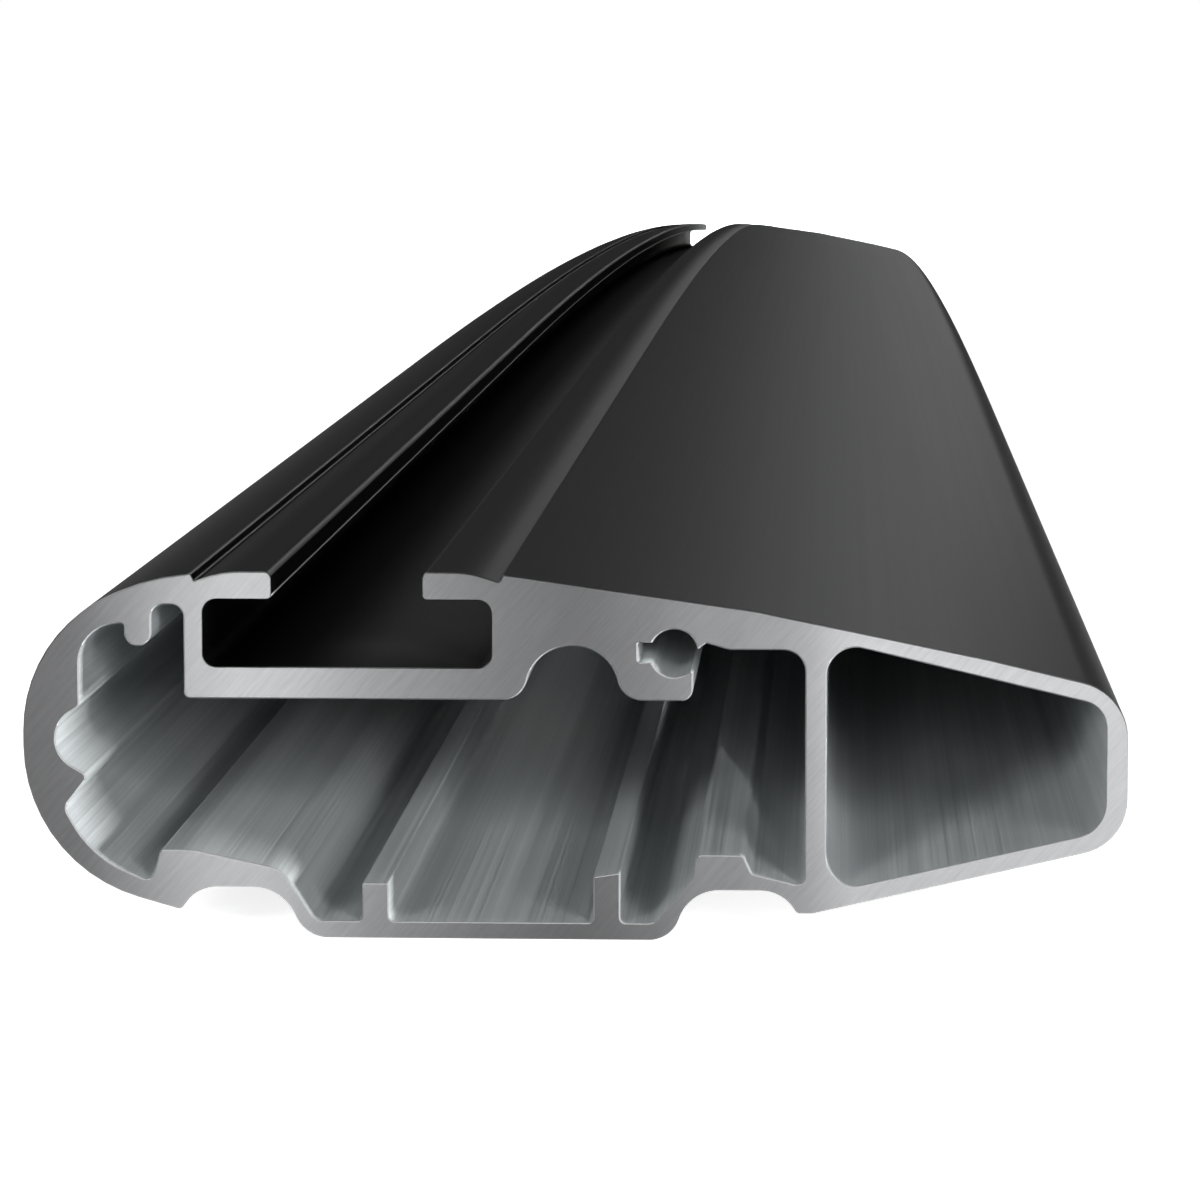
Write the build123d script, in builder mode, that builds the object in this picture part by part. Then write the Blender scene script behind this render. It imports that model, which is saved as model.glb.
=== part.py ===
import os
from math import acos, atan2, cos, degrees, dist, hypot, radians, sin, tan

from build123d import *

# Roof rack crossbar: one bent aluminium extrusion with a wing section, cut square at both ends.
# Sizes are in millimetres and degrees. +Y runs along the bar, +X from the nose to the tail, +Z is up.
# In the section, widths are counted from the nose and heights from the underside of the keel.

# Length and bend of the bar
bar_length = 1180.0
straight_length = 298.0
bend_radius = 22600.0

# Nose
nose_upper_radius = 11.0
nose_lower_radius = 11.5
nose_middle_height = 14.47
nose_flat = 1.07
brow_slope = 24.0
crown_slope = 5.0
crown_radius = 16.5
chin_slope = 16.0

# Slot for sliding nuts, open at the top
slot_start = 13.17
slot_width = 20.97
slot_depth = 4.92
slot_mouth_width = 10.95
slot_corner_radius = 1.0
lip_thickness = 2.0
lip_height = 26.77
lip_top_radius = 0.5
lip_under_radius = 0.35

# Trim grooves and the ramps beside the lips
groove_depth = 0.7
groove_overhang = 0.27
groove_step = 0.53
ramp_slope = 17.5
ramp_radius = 7.0
front_lip_width = 5.57
rear_lip_width = 5.6
sharp_radius = 0.12

# Tail
bar_width = 80.0
tail_top_height = 18.26
panel_front_slope = 6.3
panel_bend_radius = 280.0
panel_rear_slope = 13.3
tail_upper_radius = 4.2
tail_lower_radius = 4.0
tail_under_slope = 13.1

# Underside: two long recesses beside the keel, with a foot outside each
keel_start = 22.2
keel_width = 23.3
recess_height = 3.7
front_recess_round = 3.4
rear_recess_round = 3.1
front_keel_round = 2.6
rear_keel_round = 2.3
front_recess_start = 14.1
rear_recess_end = 53.6
recess_outer_round = 2.9
recess_outer_slope = 58.0
foot_radius = 0.4
rear_foot_height = 2.04
rear_foot_width = 1.1

# Walls
slot_floor_thickness = 2.33
slot_side_thickness = 1.38
keel_thickness = 1.25
web_position = 56.8
web_thickness = 1.53
panel_thickness = 1.33
tail_thickness = 1.57
tail_floor_thickness = 1.25

# Front chamber, nose side
finger_slot_width = 2.38
finger_slot_top = 2.42
hook_width = 1.95
hook_height = 21.32
hook_round = 0.95
upper_pocket_height = 22.95
upper_pocket_wall = 4.12
upper_pocket_round = 2.95
hook_base_radius = 0.25
middle_pocket_wall = 2.35
middle_pocket_height = 14.5
middle_pocket_round = 2.3
middle_pocket_flare = 30.5
tooth_reach = 4.75
tooth_round = 0.45
lower_pocket_wall = 2.85
lower_pocket_height = 9.75
lower_pocket_round = 0.8
lower_tooth_slope = 52.0
chin_wall_reach = 4.95
chin_wall_height = 5.85
chin_wall_radius = 8.0
pit_reach = 9.3
pit_height = 4.0
pit_round = 0.65

# Front chamber, floor
step_start = 9.95
step_height = 6.42
step_round = 0.35
step_flat = 2.3
step_slope = 12.0
step_bend_radius = 6.0
floor_round = 1.0
step_edge_radius = 2.4
rib_width = 1.95
front_rib_position = 24.65
front_rib_height = 4.05
rear_rib_position = 41.48
rear_rib_height = 4.93
rear_rib_bevel = 9.0
rib_edge_radius = 0.15
rib_base_radius = 0.4
step_edge_setback = 0.1
step_foot_setback = 0.75
ledge_foot_setback = 1.25
ledge_rise = 3.4
ledge_lean = 0.25
ledge_start = 48.95
ledge_height = 6.29
ledge_width = 3.4
ledge_round = 0.5
ledge_end_slope = 66.0
ledge_seat_height = 4.92
ledge_seat_slope = 13.0
web_base_radius = 0.6

# Front chamber, ceiling: arch, screw port and the corner beside the web
arch_position = 39.97
arch_height = 3.96
arch_radius = 3.3
arch_flare_radius = 1.8
arch_flat = 0.15
floor_edge_radius = 0.45
port_radius = 1.74
port_position = 47.31
port_height = 20.98
port_key_reach = 2.61
port_key_width = 1.45
port_key_rise = 0.05
port_wall = 1.38
port_lip_reach = 1.9
port_lip_width = 0.45
port_lip_depth = 0.3
port_corner_radius = 0.85
port_gap_below = 1.45
port_gap_above = 0.43
ceiling_height = 21.25
ceiling_start = 51.3
ceiling_edge_radius = 1.0
web_top_radius = 1.6

# Tail chamber corners
tail_chamber_front_radius = 2.1
tail_chamber_upper_radius = 2.0
tail_chamber_lower_radius = 2.6

# Share of a run that the rounds at its two ends may take up
room_share = 0.98


def meet(first, first_slope, second, second_slope):
    """Where a line through one point meets a line through another, each with its own slope."""
    first_rise = tan(radians(first_slope))
    second_rise = tan(radians(second_slope))
    gap = second[1] - first[1] - second_rise * (second[0] - first[0])
    across = gap / (first_rise - second_rise)
    return (first[0] + across, first[1] + first_rise * across)


def steepest(rise, *rounds):
    """Slope of a step at which the rounds at its foot and head just meet."""
    return degrees(acos(max(0.0, 1 - room_share * rise / sum(rounds))))


def reach(radius, turn):
    """Distance from a corner to the start of its round."""
    return radius * tan(radians(turn / 2))


def eased(corners):
    """Radius of the round at each corner of an outline, limited to the room that its runs leave."""
    count = len(corners)
    places = [place for place, radius in corners]
    runs = [dist(places[i], places[(i + 1) % count]) for i in range(count)]
    headings = []
    for i in range(count):
        after = places[(i + 1) % count]
        headings.append(degrees(atan2(after[1] - places[i][1], after[0] - places[i][0])))
    turns = [abs((headings[i] - headings[i - 1] + 180) % 360 - 180) for i in range(count)]
    reaches = [reach(corners[i][1], turns[i]) for i in range(count)]
    shares = [min(1, room_share * runs[i] / (reaches[i] + reaches[(i + 1) % count])) for i in range(count)]
    return [corners[i][1] * min(shares[i - 1], shares[i]) for i in range(count)]


# Heights and places that follow from the sizes
lip_underside = lip_height - lip_thickness
slot_floor = lip_underside - slot_depth
slot_end = slot_start + slot_width
mouth_start = slot_start + (slot_width - slot_mouth_width) / 2
mouth_end = mouth_start + slot_mouth_width
groove_floor = lip_height - groove_depth
ramp_run = groove_depth / tan(radians(ramp_slope))
front_groove = mouth_start - front_lip_width
rear_groove = mouth_end + rear_lip_width
floor_underside = slot_floor - slot_floor_thickness
keel_end = keel_start + keel_width

# Corners of the nose
brow_corner = (0, nose_middle_height + nose_flat / 2 + reach(nose_upper_radius, 90 - brow_slope))
chin_corner = (0, nose_middle_height - nose_flat / 2 - reach(nose_lower_radius, 90 - chin_slope))
front_groove_edge = (front_groove - groove_overhang, groove_floor + groove_step)
crown_corner = meet(brow_corner, brow_slope, front_groove_edge, crown_slope)

# Corners of the underside
front_step_slope = steepest(recess_height, front_recess_round, front_keel_round)
front_keel_corner = keel_start - reach(front_keel_round, front_step_slope)
front_recess_corner = front_keel_corner - recess_height / tan(radians(front_step_slope))
rear_step_slope = steepest(recess_height, rear_recess_round, rear_keel_round)
rear_keel_corner = keel_end + reach(rear_keel_round, rear_step_slope)
rear_recess_corner = rear_keel_corner + recess_height / tan(radians(rear_step_slope))
outer_reach = reach(recess_outer_round, recess_outer_slope)
front_recess_edge = (front_recess_start - outer_reach, recess_height)
rear_recess_edge = (rear_recess_end + outer_reach, recess_height)
front_foot = meet(chin_corner, -chin_slope, front_recess_edge, recess_outer_slope)
rear_foot_drop = (recess_height - rear_foot_height) / tan(radians(recess_outer_slope))
rear_foot = (rear_recess_edge[0] + rear_foot_drop, rear_foot_height)
rear_foot_end = (rear_foot[0] + rear_foot_width, rear_foot_height)

# Corners of the tail
rear_groove_edge = (rear_groove + groove_overhang, groove_floor + groove_step)
tail_top = (bar_width, tail_top_height)
tail_rise = (bar_width - rear_foot_end[0]) * tan(radians(tail_under_slope))
tail_bottom = (bar_width, rear_foot_height + tail_rise)
panel_corner = meet(rear_groove_edge, -panel_front_slope, tail_top, -panel_rear_slope)

# Outside of the section, clockwise from the front lip, each corner with the radius of its round
outside = [
    ((mouth_start, lip_height), lip_top_radius),
    ((mouth_start, lip_underside), lip_under_radius),
    ((slot_start, lip_underside), slot_corner_radius),
    ((slot_start, slot_floor), slot_corner_radius),
    ((slot_end, slot_floor), slot_corner_radius),
    ((slot_end, lip_underside), slot_corner_radius),
    ((mouth_end, lip_underside), lip_under_radius),
    ((mouth_end, lip_height), lip_top_radius),
    ((rear_groove - ramp_run, lip_height), ramp_radius),
    ((rear_groove, groove_floor), sharp_radius),
    (rear_groove_edge, sharp_radius),
    (panel_corner, panel_bend_radius),
    (tail_top, tail_upper_radius),
    (tail_bottom, tail_lower_radius),
    (rear_foot_end, foot_radius),
    (rear_foot, foot_radius),
    (rear_recess_edge, recess_outer_round),
    ((rear_recess_corner, recess_height), rear_recess_round),
    ((rear_keel_corner, 0), rear_keel_round),
    ((front_keel_corner, 0), front_keel_round),
    ((front_recess_corner, recess_height), front_recess_round),
    (front_recess_edge, recess_outer_round),
    (front_foot, foot_radius),
    (chin_corner, nose_lower_radius),
    (brow_corner, nose_upper_radius),
    (crown_corner, crown_radius),
    (front_groove_edge, sharp_radius),
    ((front_groove, groove_floor), sharp_radius),
    ((front_groove + ramp_run, lip_height), ramp_radius),
]

# Front chamber, nose side: a slot, a hooked rib, and three pockets with a tooth between each two
finger_slot_end = slot_start - slot_side_thickness
finger_slot_start = finger_slot_end - finger_slot_width
finger_slot_ceiling = lip_height - finger_slot_top
finger_slot_radius = min(finger_slot_width, hook_width) * 0.48
hook_start = finger_slot_start - hook_width
pocket_depth = middle_pocket_round / sin(radians(middle_pocket_flare)) - middle_pocket_round
middle_pocket = (middle_pocket_wall - pocket_depth, middle_pocket_height)
upper_tooth = meet(middle_pocket, middle_pocket_flare, (upper_pocket_wall, middle_pocket_height), 89.9)
tooth_drop = (tooth_reach - middle_pocket[0]) * tan(radians(middle_pocket_flare))
lower_tooth = (tooth_reach, middle_pocket_height - tooth_drop)
lower_pocket = meet(lower_tooth, lower_tooth_slope, (lower_pocket_wall, lower_pocket_height), -75)

nose_side = [
    ((finger_slot_end, floor_underside), floor_edge_radius),
    ((finger_slot_end, finger_slot_ceiling), finger_slot_radius),
    ((finger_slot_start, finger_slot_ceiling), finger_slot_radius),
    ((finger_slot_start, hook_height), hook_round),
    ((hook_start, hook_height), hook_round),
    ((hook_start, upper_pocket_height), hook_base_radius),
    ((upper_pocket_wall, upper_pocket_height), upper_pocket_round),
    (upper_tooth, tooth_round),
    (middle_pocket, middle_pocket_round),
    (lower_tooth, tooth_round),
    (lower_pocket, lower_pocket_round),
    ((chin_wall_reach, chin_wall_height), chin_wall_radius),
    ((pit_reach, pit_height), pit_round),
]

# Front chamber, floor: a step over the front recess, two ribs, and a ledge over the rear recess
step_bend = (step_start + step_flat, step_height)
step_edge_across = front_recess_corner - step_edge_setback
step_edge_fall = (step_edge_across - step_bend[0]) * tan(radians(step_slope))
rear_rib_low = rear_rib_height - rib_width * tan(radians(rear_rib_bevel))
ledge_end = ledge_start + ledge_width
ledge_fall = (ledge_height - ledge_seat_height) / tan(radians(ledge_end_slope))
ledge_seat = (ledge_end + ledge_fall, ledge_seat_height)
web_base = ledge_seat_height - (web_position - ledge_seat[0]) * tan(radians(ledge_seat_slope))

chamber_floor = [
    ((step_start, step_height), step_round),
    (step_bend, step_bend_radius),
    ((step_edge_across, step_height - step_edge_fall), step_edge_radius),
    ((front_keel_corner + step_foot_setback, keel_thickness), floor_round),
    ((front_rib_position, keel_thickness), rib_base_radius),
    ((front_rib_position, front_rib_height), rib_edge_radius),
    ((front_rib_position + rib_width, front_rib_height), rib_edge_radius),
    ((front_rib_position + rib_width, keel_thickness), rib_base_radius),
    ((rear_rib_position, keel_thickness), rib_base_radius),
    ((rear_rib_position, rear_rib_low), rib_edge_radius),
    ((rear_rib_position + rib_width, rear_rib_height), rib_edge_radius),
    ((rear_rib_position + rib_width, keel_thickness), rib_base_radius),
    ((rear_keel_corner - ledge_foot_setback, keel_thickness), floor_round),
    ((ledge_start - ledge_lean, keel_thickness + ledge_rise), ledge_round),
    ((ledge_start, ledge_height), ledge_round),
    ((ledge_end, ledge_height), ledge_round),
    (ledge_seat, rib_base_radius),
    ((web_position, web_base), web_base_radius),
]

# Front chamber, ceiling: from the web over the port's lip and the arch back to the slot
arch_slope = steepest(arch_height, arch_radius, arch_flare_radius)
arch_half = reach(arch_radius, arch_slope) + arch_flat / 2
flare_half = arch_half + arch_height / tan(radians(arch_slope))
arch_top = floor_underside + arch_height
port_gap_start = port_height - port_gap_below
port_lip = (port_position + port_lip_reach, port_height + port_gap_above)
port_notch = (port_lip[0] + port_lip_width, port_lip[1] + port_lip_depth)

chamber_ceiling = [
    ((web_position, ceiling_height), web_top_radius),
    ((ceiling_start, ceiling_height), ceiling_edge_radius),
    (port_notch, sharp_radius),
    (port_lip, sharp_radius),
    ((port_position + port_wall, port_gap_start), sharp_radius),
    ((port_position + port_wall, floor_underside), port_corner_radius),
    ((arch_position + flare_half, floor_underside), arch_flare_radius),
    ((arch_position + arch_half, arch_top), arch_radius),
    ((arch_position - arch_half, arch_top), arch_radius),
    ((arch_position - flare_half, floor_underside), arch_flare_radius),
]

front_chamber = nose_side + chamber_floor + chamber_ceiling

# Tail chamber: its top and floor follow the outside at their own wall
tail_chamber_start = web_position + web_thickness
tail_chamber_end = bar_width - tail_thickness
top_at_tail = tail_top_height - panel_thickness / cos(radians(panel_rear_slope))
floor_at_tail = tail_bottom[1] + tail_floor_thickness / cos(radians(tail_under_slope))


def along_top(across):
    """Height of the tail chamber's top at a distance from the nose."""
    return top_at_tail + (bar_width - across) * tan(radians(panel_rear_slope))


def along_floor(across):
    """Height of the tail chamber's floor at a distance from the nose."""
    return floor_at_tail - (bar_width - across) * tan(radians(tail_under_slope))


tail_chamber = [
    ((tail_chamber_start, along_floor(tail_chamber_start)), tail_chamber_front_radius),
    ((tail_chamber_end, along_floor(tail_chamber_end)), tail_chamber_lower_radius),
    ((tail_chamber_end, along_top(tail_chamber_end)), tail_chamber_upper_radius),
    ((tail_chamber_start, along_top(tail_chamber_start)), tail_chamber_front_radius),
]

# Path of the keel: straight, then bent evenly down to the far end, with both ends on one level
bend_turn = (bar_length - straight_length) / bend_radius
run_forward = straight_length + bend_radius * sin(bend_turn)
run_drop = bend_radius * (1 - cos(bend_turn))
start_rise = atan2(run_drop, run_forward)
end_fall = bend_turn - start_rise
chord = hypot(run_forward, run_drop)
start_lean = lip_height * sin(start_rise)
end_lean = lip_height * sin(end_fall)
start_along = -(chord + end_lean - start_lean) / 2
straight_end = (
    start_along + straight_length * cos(start_rise),
    straight_length * sin(start_rise),
)
nose_side_across = -bar_width / 2
section_plane = Plane(
    origin=(nose_side_across, start_along, 0),
    x_dir=(1, 0, 0),
    z_dir=(0, -cos(start_rise), -sin(start_rise)),
)

with BuildPart() as crossbar:
    with BuildLine(Plane.YZ.offset(nose_side_across)) as keel_path:
        straight = Line((start_along, 0), straight_end)
        JernArc(straight @ 1, straight % 1, bend_radius, -degrees(bend_turn))
    with BuildSketch(section_plane) as section:
        with BuildLine():
            FilletPolyline([place for place, radius in outside], radius=eased(outside), close=True)
        make_face()
        for chamber in (front_chamber, tail_chamber):
            with BuildLine():
                FilletPolyline([place for place, radius in chamber], radius=eased(chamber), close=True)
            make_face(mode=Mode.SUBTRACT)
        with Locations((port_position, port_height)):
            Circle(port_radius, mode=Mode.SUBTRACT)
        with Locations((port_position, port_height + port_key_rise)):
            Rectangle(port_key_reach, port_key_width, align=(Align.MAX, Align.CENTER), mode=Mode.SUBTRACT)
        with Locations((port_position, port_gap_start)):
            Rectangle(
                port_lip_reach + sharp_radius,
                port_gap_below + port_gap_above,
                align=(Align.MIN, Align.MIN),
                mode=Mode.SUBTRACT,
            )
    sweep(path=keel_path.wire())

crossbar.part.label = "crossbar"
os.makedirs("parts", exist_ok=True)
export_step(crossbar.part, "parts/crossbar.step")

section_area = section.sketch.area
print("section", round(section_area, 2), "mm2, volume", round(crossbar.part.volume, 1), "mm3")
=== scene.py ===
from math import acos, asin, atan2, ceil, cos, degrees, dist, hypot, radians, sin, tan

import bpy
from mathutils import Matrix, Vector
from mathutils.geometry import tessellate_polygon


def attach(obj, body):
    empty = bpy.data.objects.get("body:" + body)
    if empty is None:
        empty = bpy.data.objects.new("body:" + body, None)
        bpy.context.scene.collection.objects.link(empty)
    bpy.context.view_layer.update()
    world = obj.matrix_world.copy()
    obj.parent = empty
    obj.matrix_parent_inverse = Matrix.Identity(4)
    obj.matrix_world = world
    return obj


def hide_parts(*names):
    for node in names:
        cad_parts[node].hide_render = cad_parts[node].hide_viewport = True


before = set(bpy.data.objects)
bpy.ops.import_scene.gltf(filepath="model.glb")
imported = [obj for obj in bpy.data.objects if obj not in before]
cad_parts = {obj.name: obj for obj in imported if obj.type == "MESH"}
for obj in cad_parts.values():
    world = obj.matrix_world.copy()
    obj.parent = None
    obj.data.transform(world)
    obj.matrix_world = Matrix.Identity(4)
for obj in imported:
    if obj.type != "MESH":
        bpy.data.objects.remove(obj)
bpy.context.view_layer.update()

# Roof rack crossbar in one piece. The section's sizes are in millimetres and degrees, and are those of
# the solid model; everything that goes into Blender is in metres.
MM = 0.001

# Length and bend of the bar
bar_length = 1180.0
straight_length = 298.0
bend_radius = 22600.0

# Nose
nose_upper_radius = 11.0
nose_lower_radius = 11.5
nose_middle_height = 14.47
nose_flat = 1.07
brow_slope = 24.0
crown_slope = 5.0
crown_radius = 16.5
chin_slope = 16.0

# Slot for sliding nuts, open at the top
slot_start = 13.17
slot_width = 20.97
slot_depth = 4.92
slot_mouth_width = 10.95
slot_corner_radius = 1.0
lip_thickness = 2.0
lip_height = 26.77
lip_top_radius = 0.5
lip_under_radius = 0.35

# Trim grooves and the ramps beside the lips
groove_depth = 0.7
groove_overhang = 0.27
groove_step = 0.53
ramp_slope = 17.5
ramp_radius = 7.0
front_lip_width = 5.57
rear_lip_width = 5.6
sharp_radius = 0.12

# Tail
bar_width = 80.0
tail_top_height = 18.26
panel_front_slope = 6.3
panel_bend_radius = 280.0
panel_rear_slope = 13.3
tail_upper_radius = 4.2
tail_lower_radius = 4.0
tail_under_slope = 13.1

# Underside: two long recesses beside the keel, with a foot outside each
keel_start = 22.2
keel_width = 23.3
recess_height = 3.7
front_recess_round = 3.4
rear_recess_round = 3.1
front_keel_round = 2.6
rear_keel_round = 2.3
front_recess_start = 14.1
rear_recess_end = 53.6
recess_outer_round = 2.9
recess_outer_slope = 58.0
foot_radius = 0.4
rear_foot_height = 2.04
rear_foot_width = 1.1

# Walls
slot_floor_thickness = 2.33
slot_side_thickness = 1.38
keel_thickness = 1.25
web_position = 56.8
web_thickness = 1.53
panel_thickness = 1.33
tail_thickness = 1.57
tail_floor_thickness = 1.25

# Front chamber, nose side
finger_slot_width = 2.38
finger_slot_top = 2.42
finger_slot_round_share = 0.48
hook_width = 1.95
hook_height = 21.32
hook_round = 0.95
upper_pocket_height = 22.95
upper_pocket_wall = 4.12
upper_pocket_slope = 89.9
upper_pocket_round = 2.95
hook_base_radius = 0.25
middle_pocket_wall = 2.35
middle_pocket_height = 14.5
middle_pocket_round = 2.3
middle_pocket_flare = 30.5
tooth_reach = 4.75
tooth_round = 0.45
lower_pocket_wall = 2.85
lower_pocket_height = 9.75
lower_pocket_round = 0.8
lower_tooth_slope = 52.0
lower_pocket_slope = -75.0
chin_wall_reach = 4.95
chin_wall_height = 5.85
chin_wall_radius = 8.0
pit_reach = 9.3
pit_height = 4.0
pit_round = 0.65

# Front chamber, floor
step_start = 9.95
step_height = 6.42
step_round = 0.35
step_flat = 2.3
step_slope = 12.0
step_bend_radius = 6.0
floor_round = 1.0
step_edge_radius = 2.4
rib_width = 1.95
front_rib_position = 24.65
front_rib_height = 4.05
rear_rib_position = 41.48
rear_rib_height = 4.93
rear_rib_bevel = 9.0
rib_edge_radius = 0.15
rib_base_radius = 0.4
step_edge_setback = 0.1
step_foot_setback = 0.75
ledge_foot_setback = 1.25
ledge_rise = 3.4
ledge_lean = 0.25
ledge_start = 48.95
ledge_height = 6.29
ledge_width = 3.4
ledge_round = 0.5
ledge_end_slope = 66.0
ledge_seat_height = 4.92
ledge_seat_slope = 13.0
web_base_radius = 0.6

# Front chamber, ceiling: arch, screw port and the corner beside the web
arch_position = 39.97
arch_height = 3.96
arch_radius = 3.3
arch_flare_radius = 1.8
arch_flat = 0.15
floor_edge_radius = 0.45
port_radius = 1.74
port_position = 47.31
port_height = 20.98
port_key_reach = 2.61
port_key_width = 1.45
port_key_rise = 0.05
port_wall = 1.38
port_lip_reach = 1.9
port_lip_width = 0.45
port_lip_depth = 0.3
port_corner_radius = 0.85
port_gap_below = 1.45
port_gap_above = 0.43
port_first_angle = 10.0
port_last_angle = 308.0
ceiling_height = 21.25
ceiling_start = 51.3
ceiling_edge_radius = 1.0
web_top_radius = 1.6

# Tail chamber corners
tail_chamber_front_radius = 2.1
tail_chamber_upper_radius = 2.0
tail_chamber_lower_radius = 2.6

# Fineness of the mesh, and the small bevel left by deburring the sawn ends
room_share = 0.98
turn_step = 7.0
straight_stations = 4
bend_stations = 72
deburr = 0.1


def meet(first, first_slope, second, second_slope):
    """Where a line through one point meets a line through another, each with its own slope."""
    first_rise = tan(radians(first_slope))
    second_rise = tan(radians(second_slope))
    gap = second[1] - first[1] - second_rise * (second[0] - first[0])
    across = gap / (first_rise - second_rise)
    return (first[0] + across, first[1] + first_rise * across)


def steepest(rise, *rounds):
    """Slope of a step at which the rounds at its foot and head just meet."""
    return degrees(acos(max(0.0, 1 - room_share * rise / sum(rounds))))


def reach(radius, turn):
    """Distance from a corner to the start of its round."""
    return radius * tan(radians(turn / 2))


def left_of(heading):
    """Unit vector to the left of a heading in degrees, which is out of the metal on every outline."""
    return (-sin(radians(heading)), cos(radians(heading)))


def rounded(corners):
    """Points of an outline with rounds at its corners, each with the direction out of the metal."""
    count = len(corners)
    places = [place for place, radius in corners]
    runs = [dist(places[i], places[(i + 1) % count]) for i in range(count)]
    headings = []
    for i in range(count):
        after = places[(i + 1) % count]
        headings.append(degrees(atan2(after[1] - places[i][1], after[0] - places[i][0])))
    turns = [(headings[i] - headings[i - 1] + 180) % 360 - 180 for i in range(count)]
    reaches = [reach(corners[i][1], abs(turns[i])) for i in range(count)]
    shares = [min(1, room_share * runs[i] / (reaches[i] + reaches[(i + 1) % count])) for i in range(count)]
    points = []
    for i in range(count):
        radius = corners[i][1] * min(shares[i - 1], shares[i])
        back = reach(radius, abs(turns[i]))
        before = radians(headings[i - 1])
        start = (places[i][0] - back * cos(before), places[i][1] - back * sin(before))
        side = 1 if turns[i] > 0 else -1
        out = left_of(headings[i - 1])
        centre = (start[0] + side * radius * out[0], start[1] + side * radius * out[1])
        steps = max(2, ceil(abs(turns[i]) / turn_step))
        for k in range(steps + 1):
            out = left_of(headings[i - 1] + turns[i] * k / steps)
            points.append((centre[0] - side * radius * out[0], centre[1] - side * radius * out[1], *out))
    return points


def arc(centre, radius, start, end):
    """Points round a hole from one angle to another in degrees, each facing the hole's centre."""
    steps = ceil((end - start) / turn_step)
    points = []
    for k in range(steps + 1):
        angle = radians(start + (end - start) * k / steps)
        place = (centre[0] + radius * cos(angle), centre[1] + radius * sin(angle))
        points.append((*place, -cos(angle), -sin(angle)))
    return points


# Heights and places that follow from the sizes
lip_underside = lip_height - lip_thickness
slot_floor = lip_underside - slot_depth
slot_end = slot_start + slot_width
mouth_start = slot_start + (slot_width - slot_mouth_width) / 2
mouth_end = mouth_start + slot_mouth_width
groove_floor = lip_height - groove_depth
ramp_run = groove_depth / tan(radians(ramp_slope))
front_groove = mouth_start - front_lip_width
rear_groove = mouth_end + rear_lip_width
floor_underside = slot_floor - slot_floor_thickness
keel_end = keel_start + keel_width

# Corners of the nose
brow_corner = (0, nose_middle_height + nose_flat / 2 + reach(nose_upper_radius, 90 - brow_slope))
chin_corner = (0, nose_middle_height - nose_flat / 2 - reach(nose_lower_radius, 90 - chin_slope))
front_groove_edge = (front_groove - groove_overhang, groove_floor + groove_step)
crown_corner = meet(brow_corner, brow_slope, front_groove_edge, crown_slope)

# Corners of the underside
front_step_slope = steepest(recess_height, front_recess_round, front_keel_round)
front_keel_corner = keel_start - reach(front_keel_round, front_step_slope)
front_recess_corner = front_keel_corner - recess_height / tan(radians(front_step_slope))
rear_step_slope = steepest(recess_height, rear_recess_round, rear_keel_round)
rear_keel_corner = keel_end + reach(rear_keel_round, rear_step_slope)
rear_recess_corner = rear_keel_corner + recess_height / tan(radians(rear_step_slope))
outer_reach = reach(recess_outer_round, recess_outer_slope)
front_recess_edge = (front_recess_start - outer_reach, recess_height)
rear_recess_edge = (rear_recess_end + outer_reach, recess_height)
front_foot = meet(chin_corner, -chin_slope, front_recess_edge, recess_outer_slope)
rear_foot_drop = (recess_height - rear_foot_height) / tan(radians(recess_outer_slope))
rear_foot = (rear_recess_edge[0] + rear_foot_drop, rear_foot_height)
rear_foot_end = (rear_foot[0] + rear_foot_width, rear_foot_height)

# Corners of the tail
rear_groove_edge = (rear_groove + groove_overhang, groove_floor + groove_step)
tail_top = (bar_width, tail_top_height)
tail_rise = (bar_width - rear_foot_end[0]) * tan(radians(tail_under_slope))
tail_bottom = (bar_width, rear_foot_height + tail_rise)
panel_corner = meet(rear_groove_edge, -panel_front_slope, tail_top, -panel_rear_slope)

# Outside of the section, clockwise from the front lip, each corner with the radius of its round
outside = [
    ((mouth_start, lip_height), lip_top_radius),
    ((mouth_start, lip_underside), lip_under_radius),
    ((slot_start, lip_underside), slot_corner_radius),
    ((slot_start, slot_floor), slot_corner_radius),
    ((slot_end, slot_floor), slot_corner_radius),
    ((slot_end, lip_underside), slot_corner_radius),
    ((mouth_end, lip_underside), lip_under_radius),
    ((mouth_end, lip_height), lip_top_radius),
    ((rear_groove - ramp_run, lip_height), ramp_radius),
    ((rear_groove, groove_floor), sharp_radius),
    (rear_groove_edge, sharp_radius),
    (panel_corner, panel_bend_radius),
    (tail_top, tail_upper_radius),
    (tail_bottom, tail_lower_radius),
    (rear_foot_end, foot_radius),
    (rear_foot, foot_radius),
    (rear_recess_edge, recess_outer_round),
    ((rear_recess_corner, recess_height), rear_recess_round),
    ((rear_keel_corner, 0), rear_keel_round),
    ((front_keel_corner, 0), front_keel_round),
    ((front_recess_corner, recess_height), front_recess_round),
    (front_recess_edge, recess_outer_round),
    (front_foot, foot_radius),
    (chin_corner, nose_lower_radius),
    (brow_corner, nose_upper_radius),
    (crown_corner, crown_radius),
    (front_groove_edge, sharp_radius),
    ((front_groove, groove_floor), sharp_radius),
    ((front_groove + ramp_run, lip_height), ramp_radius),
]

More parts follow.
